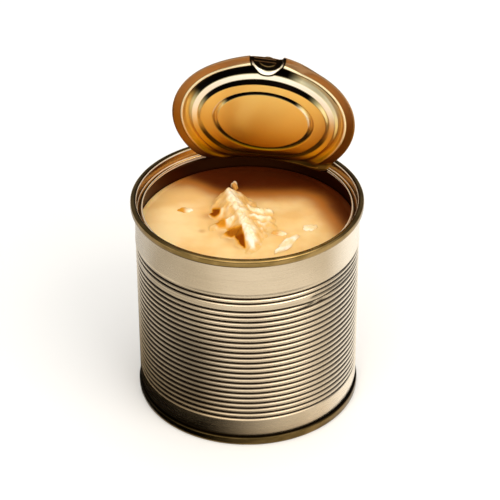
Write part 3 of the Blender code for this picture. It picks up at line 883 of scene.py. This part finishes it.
heapSettings = {
    "centre": (-2, -2),
    "half": (13.5, 21.5),
    "turn": 14,
    "rings": 120,
    "steps": 320,
    "sunk": 0.9,  # how far its edge lies under the soup
    "depth": 3.5,
    "top": 79.2,
    # crest lines (x, y, height), the fall per millimetre on the left and right of each, and
    # how pale its top is, partly the meat's own colour and partly painted highlight
    "ridges": (
        (((-10.2, 12.7, 78.8), (-7.3, 7.4, 78.4), (-3, 1.1, 77.6), (0, -3.6, 77.2), (2.5, -8.7, 76.6),
          (4.2, -12.7, 75.4), (5.3, -17.2, 73.6), (5.6, -21.5, 71.2)), 0.7, 0.85, 1),
        (((-10.2, 12.7, 78.6), (-12.7, 10.4, 76.4), (-16.1, 11.2, 73), (-18, 11.4, 71)), 1, 0.9, 0.3),
        (((-6.6, 6, 77.2), (-10.4, 3.6, 75.4), (-14.6, 2.4, 73.4), (-16.8, 1.8, 71.8)), 0.9, 1, 0.35),
        (((-2.6, 0.4, 76.8), (-8.4, -2.6, 75.2), (-11.6, -5.2, 73.7), (-15, -8.6, 71.9)), 0.95, 1.1, 0.5),
        (((0.4, -4.6, 76.4), (-4.4, -8, 74.5), (-7.2, -10.6, 72.6)), 1, 1, 0.4),
        (((-4.9, 8.4, 76.4), (-0.7, 7.3, 75.4), (3.5, 8.4, 74.8), (7, 10, 74),
          (11.5, 11.5, 72.2)), 0.7, 0.9, 0.9),
        (((-2.3, 3, 76.2), (2.4, 3.6, 74.9), (8, 4.8, 73.8), (10.5, 5.2, 72.2)), 0.7, 0.9, 0.9),
        (((0.5, -1.5, 75.6), (2.6, 0, 74.8), (7.6, 1.2, 73.8), (9.6, 0.6, 73)), 0.7, 0.9, 0.9),
        (((6.6, -2.6, 73.4), (7.4, -5, 73.6), (8.4, -7.4, 72.8)), 0.8, 0.9, 0.9),
    ),
    # faces given painted shade in brown: corners across and up as the camera sees them, each side's
    # blur, and strength
    "soaked": (
        (((-15, 63.6), (-12.6, 62.2), (-10.2, 63.6), (-10, 65.8), (-13, 66)), (1.4,) * 5, 0.95),
        (((-12.6, 60.6), (-10.6, 58.4), (-7.9, 58.7), (-8, 61.8), (-9.6, 62.2)), (1.4,) * 5, 0.6),
        (((-10.2, 57.4), (-0.4, 48.4), (-2, 59.4)), (2.4, 0.8, 2.4), 0.75),
        (((-6.4, 55), (-0.2, 48), (-1.4, 57)), (2.8, 0.8, 3.2), 1),
    ),
}


def ridgeField(x, y, crest, left, right):
    # the height of a crest line's slopes at each point: for the nearest point of each
    # stretch, its height less the side's fall times the distance, rounded at the top;
    # with it the distance from the crest and the side
    best = np.full(x.shape, -1e9)
    away, sideOf = np.zeros(x.shape), np.zeros(x.shape)
    for (x0, y0, z0), (x1, y1, z1) in zip(crest, crest[1:]):
        dx, dy = x1 - x0, y1 - y0
        t = np.clip(((x - x0) * dx + (y - y0) * dy) / (dx * dx + dy * dy), 0, 1)
        offX, offY = x - x0 - t * dx, y - y0 - t * dy
        side = dx * offY - dy * offX
        fall = np.where(side > 0, left, right)
        distance = np.hypot(offX, offY)
        height = z0 + t * (z1 - z0) - fall * (np.sqrt(distance**2 + 0.25) - 0.5)
        nearer = height > best
        best = np.where(nearer, height, best)
        away, sideOf = np.where(nearer, distance, away), np.where(nearer, side, sideOf)
    return best, away, sideOf


def patch(across, up, corners, blurs):
    # 1 inside a shape whose corners turn left, 0 outside, each side with its own blur
    inside = 1
    for (x0, y0), (x1, y1), blur in zip(corners, corners[1:] + corners[:1], blurs):
        off = ((x1 - x0) * (up - y0) - (y1 - y0) * (across - x0)) / math.hypot(x1 - x0, y1 - y0)
        inside = inside * smooth(off / blur + 0.5)
    return inside


def blurred(field, passes):
    # averages each point with its neighbours; columns wrap round, rows do not
    for _ in range(passes):
        rows = np.vstack([field[:1], field, field[-1:]])
        field = (rows[:-2] + 2 * rows[1:-1] + rows[2:]) / 4
        field = (np.roll(field, 1, 1) + 2 * field + np.roll(field, -1, 1)) / 4
    return field


def soakedShare(x, y, height, mainSide):
    # how much painted shade each point gets: patches to the left of the main crest as seen
    across, back = asSeen(x, y)
    pitch = math.radians(cameraSettings["pitch"])
    up = height * math.cos(pitch) + back * math.sin(pitch)
    sauce = np.zeros(x.shape)
    for corners, blurs, strength in heapSettings["soaked"]:
        sauce = np.maximum(sauce, strength * patch(across, up, corners, blurs) * (mainSide < 0.5))
    sauce = np.clip(blurred(sauce, 5), 0, 1) * past(height, soupLevel - 0.3, 0.7)
    return 1 - (1 - sauce) ** 1.5


def makeHeap():
    # the highest of the ridges over an oval patch, smoothed, with a soft foot that runs
    # out under the soup: log(1 + e^2x) / 2 of the rise x
    s = heapSettings
    share = np.linspace(0, 1, s["rings"])[:, None]
    angle = anglesRound(s["steps"])
    wave = 1 + 0.06 * np.sin(3 * angle + 0.6) + 0.04 * np.sin(5 * angle + 2.1)
    u, v = share * s["half"][0] * wave * np.cos(angle), share * s["half"][1] * wave * np.sin(angle)
    x, y = rotated(u, v, s["turn"])
    x, y = x + s["centre"][0], y + s["centre"][1]
    bentX, bentY = x + 0.7 * ripples(x, y, 6, 21), y + 0.7 * ripples(x, y, 6, 22)
    height = np.full(x.shape, soupLevel - s["sunk"])
    light = np.zeros(x.shape)
    slopes = [ridgeField(bentX, bentY, *ridge[:3]) for ridge in s["ridges"]]
    for (best, away, side), (*_, pale) in zip(slopes, s["ridges"]):
        over = past(best, height, 0.6)
        height = np.maximum(height, best)
        # pale tops near each crest, wider on one side: partly the meat's own colour, partly painted highlight
        top = smooth((2.1 - np.where(side > 0, 0.5 * away, away)) / 1.6)
        light = light * (1 - over) + over * pale * top
    height = blurred(height, 3) + 0.32 * ripples(x, y * 0.7, 3, 23) + 0.15 * ripples(x, y, 1.4, 24)
    rise = np.minimum(height, s["top"]) - soupLevel - 0.7
    height = soupLevel - 0.3 + np.log1p(np.exp(2 * np.clip(rise, -8, 20))) / 2
    height = height - 1 + smooth((1 - share) / 0.06)  # the edge dips under the soup
    sauce = soakedShare(x, y, height, slopes[0][2])
    light = blurred(light, 4) * past(height, soupLevel, 1.6)
    light = light * (1 - 0.8 * past(-x, 8, 5) * past(y, 4, 3))  # the pale tops fade out on this side
    olive = 0.95 - 1.05 * light + 0.2 * ripples(x, y, 3, 31)
    grid = np.stack([x, y, height], -1)
    under = grid[-1:].copy()
    under[..., 2] = soupLevel - s["depth"]
    pole = under * 0 + np.array([*s["centre"], soupLevel - s["depth"]])
    grid = np.concatenate([grid, under, pole])
    pad = np.zeros((2, s["steps"]))
    piece = pieceFromGrid("chickenHeap", grid, slots=(chickenMatter,),
                          sauce=np.vstack([sauce, pad]), olive=np.vstack([np.clip(olive, 0, 1), pad]))
    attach(piece, "can")
    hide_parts("chicken_heap")


bitSettings = {
    # x, y, half length, half width, half height, turn in degrees, olive share, sauce share
    "chicken_tip_back": (-11, 24.2, 2.2, 1.4, 3.8, 110, 0.7, 0.5),
    "chicken_bit_left": (-24.6, 3.6, 2.9, 2, 1.1, 10, 1, 0.6),
    "chicken_bit_right": (13.6, -3.6, 2.8, 1.9, 1.2, -10, 1, 0.3),
    "chicken_shard_right": (17.2, -10.6, 6.6, 2.2, 1.5, 66, 0, 0),
    "chicken_bit_far_right": (23.6, 2.6, 2.8, 2.2, 1.2, 40, 0, 0),
}


def makeBit(node, seed):
    # an ellipsoid pushed in and out by slow ripples of its own direction
    x, y, length, width, height, turn, oliveShare, sauceShare = bitSettings[node]
    tilt = np.linspace(0, np.pi, 36)[:, None]
    angle = anglesRound(56)
    dx, dy, dz = np.sin(tilt) * np.cos(angle), np.sin(tilt) * np.sin(angle), np.cos(tilt) + 0 * angle
    swell = 1 + 0.26 * ripples(dx + dz, dy - dz, 1.8, seed) * np.sin(tilt)
    swell = swell + 0.09 * ripples(dx, dy + dz, 0.6, seed + 1)
    a, b, c = dx * swell * length, dy * swell * width, dz * swell * height
    a, b = rotated(a, b, turn)
    grid = np.stack([x + a, y + b, soupLevel - 0.3 * height + c], -1)
    grid[0], grid[-1] = grid[0].mean(0), grid[-1].mean(0)
    olive = np.maximum(oliveShare * smooth(0.5 - dx * 0.7), smooth((0.55 - dz) / 0.4))
    piece = pieceFromGrid(node.replace("chicken", "torn"), grid, slots=(chickenMatter,),
                          sauce=sauceShare * smooth(0.35 - dx), olive=olive)
    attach(piece, "can")
    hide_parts(node)


makeHeap()
for i, node in enumerate(bitSettings):
    makeBit(node, 40 + 3 * i)
print("soup and chicken made")

# floor, light and camera

studio = {
    "floor": "F8F7F4",
    "floorSize": 6,
    "backdrop": (1, 1, 1, 1),
    "fill": (0.98, 0.97, 0.96, 1),  # what lights the matt things from all round
    "warm": (1, 0.97, 0.93),
    # the bright parts of the sky: direction, from and to which nearness, dark, bright
    "glows": (((0.35, -1, 0.1), -0.2, 0.8, 0.2, 0.75), ((0.35, -0.5, 0.9), 0.35, 0.95, 0, 1.3)),
    # place, size and power
    "softboxes": {
        "keySoftbox": ((0.42, -0.28, 0.55), (0.45, 0.45), 1.7),
        "frontSoftbox": ((-0.15, -0.7, 0.5), (0.5, 0.4), 0.8),
    },
    "aim": (0, 0, 0.05),
}
flagSettings = {
    "inner": 43.2,
    "outer": 900,
    "height": 0.15,
    "near": (10, 42),  # beside the wall the flag is full, and gone by this much further
    "leftFar": 0.36,
    "frontFar": 0.8,
    # where each part begins or ends, and over how much: degrees to the right of the front,
    # degrees to its left, and radius
    "nearTurn": (-30, 75),
    "farTurn": (-85, 60),
    "behind": (130, 40),
    "farEnd": (180, 60),
    "frontTurn": (40, 30),
    "frontFrom": (200, 60),
    "frontEnd": (500, 200),
}


def makeFloor():
    half = studio["floorSize"] / 2 / mm
    grid = np.array([[(x, y, 0) for y in (-half, half)] for x in (-half, half)])
    material = newMaterial("paleFloor", Roughness=0.9, Base_Color=toLinear(studio["floor"]),
                           Specular_IOR_Level=0.1)[0]
    floor = pieceFromGrid("paleFloor", grid, wrapCols=False, slots=(material,))


def makeFlag():
    # a black card round the can that only mirrored rays meet, a painted dark reflection: full beside
    # the wall to the left, where it stands in for the floor's shade, thinner further out, and again some way
    # in front, where the lid mirrors it
    s = flagSettings
    radius = np.geomspace(s["inner"], s["outer"], 90)[:, None]
    angle = anglesRound(180)
    right, back = asSeen(np.cos(angle), np.sin(angle))
    turn = np.degrees(np.arctan2(right, -back))
    full, fade = s["near"]
    beside = 1 - past(-turn, *s["behind"])
    left = (1 - past(turn, *s["nearTurn"])) * beside
    farLeft = (1 - past(turn, *s["farTurn"])) * beside
    near = 1 - past(radius, s["inner"] + full, fade + 50 * farLeft)
    dark = np.maximum(left * near, s["leftFar"] * farLeft * (1 - past(radius, *s["farEnd"])))
    ahead = (1 - past(abs(turn), *s["frontTurn"])) * past(radius, *s["frontFrom"])
    ahead = ahead * (1 - past(radius, *s["frontEnd"]))
    dark = np.maximum(dark, s["frontFar"] * ahead)
    material, tree, shader = newMaterial("blackCard", Roughness=1, Base_Color=toLinear("0A0806"),
                                         Specular_IOR_Level=0)
    clear = addNode(tree, "ShaderNodeBsdfTransparent")
    mixed = addNode(tree, "ShaderNodeMixShader", in0=fieldOf(tree, "dark"), in1=clear.outputs[0],
                    in2=shader.outputs[0])
    feed(tree.nodes["Material Output"], Surface=mixed.outputs[0])
    grid = turned(radius, s["height"], angle)[::-1]
    flag = pieceFromGrid("blackCard", grid, slots=(material,), dark=dark[::-1])
    flag.visible_camera = flag.visible_diffuse = flag.visible_shadow = flag.visible_transmission = False


def makeWorld():
    # the camera sees a plain pale backdrop; the metal and the light see a studio that is
    # bright in front and above to the right, and dim behind the can
    world = bpy.data.worlds.new("studio")
    bpy.context.scene.world = world
    world.use_nodes = True
    tree = world.node_tree
    heading = addNode(tree, "ShaderNodeTexCoord").outputs["Generated"]
    front, above = (ranged(tree, dotWith(tree, heading, Vector(aim).normalized()), *limits)
                    for aim, *limits in studio["glows"])
    both = addNode(tree, "ShaderNodeMath", {"operation": "ADD"}, in0=front, in1=above)
    ray = addNode(tree, "ShaderNodeLightPath")
    bright = addNode(tree, "ShaderNodeVectorMath", {"operation": "SCALE"}, in0=studio["warm"],
                     Scale=both.outputs[0])
    even = mixColours(tree, ray.outputs["Is Diffuse Ray"], bright.outputs[0], studio["fill"])
    seen = mixColours(tree, ray.outputs["Is Camera Ray"], even, studio["backdrop"])
    feed(tree.nodes["Background"], Color=seen)


def addSoftbox(name, place, size, power):
    light = bpy.data.lights.new(name, "AREA")
    light.shape = "RECTANGLE"
    light.size, light.size_y = size
    light.energy = power
    light.color = studio["warm"]
    lamp = addObject(name, light)
    lamp.location = place
    lamp.rotation_euler = (Vector(studio["aim"]) - Vector(place)).to_track_quat("-Z", "Y").to_euler()


def makeCamera():
    s = cameraSettings
    data = bpy.data.cameras.new("camera")
    data.lens, data.sensor_width, data.shift_x = s["lens"], 36, s["shiftX"]
    camera = addObject("camera", data)
    azimuth = math.radians(s["azimuth"])
    camera.location = (*rotated(0, -s["distance"], s["azimuth"]), s["height"])
    turn = Matrix.Rotation(azimuth, 3, "Z") @ Matrix.Rotation(math.radians(90 - s["pitch"]), 3, "X")
    camera.rotation_euler = (turn @ Matrix.Rotation(math.radians(s["roll"]), 3, "Z")).to_euler()
    bpy.context.scene.camera = camera


makeFloor()
makeFlag()
makeWorld()
for name, box in studio["softboxes"].items():
    addSoftbox(name, *box)
makeCamera()
bpy.context.scene.view_settings.view_transform = "Standard"
print("studio made")
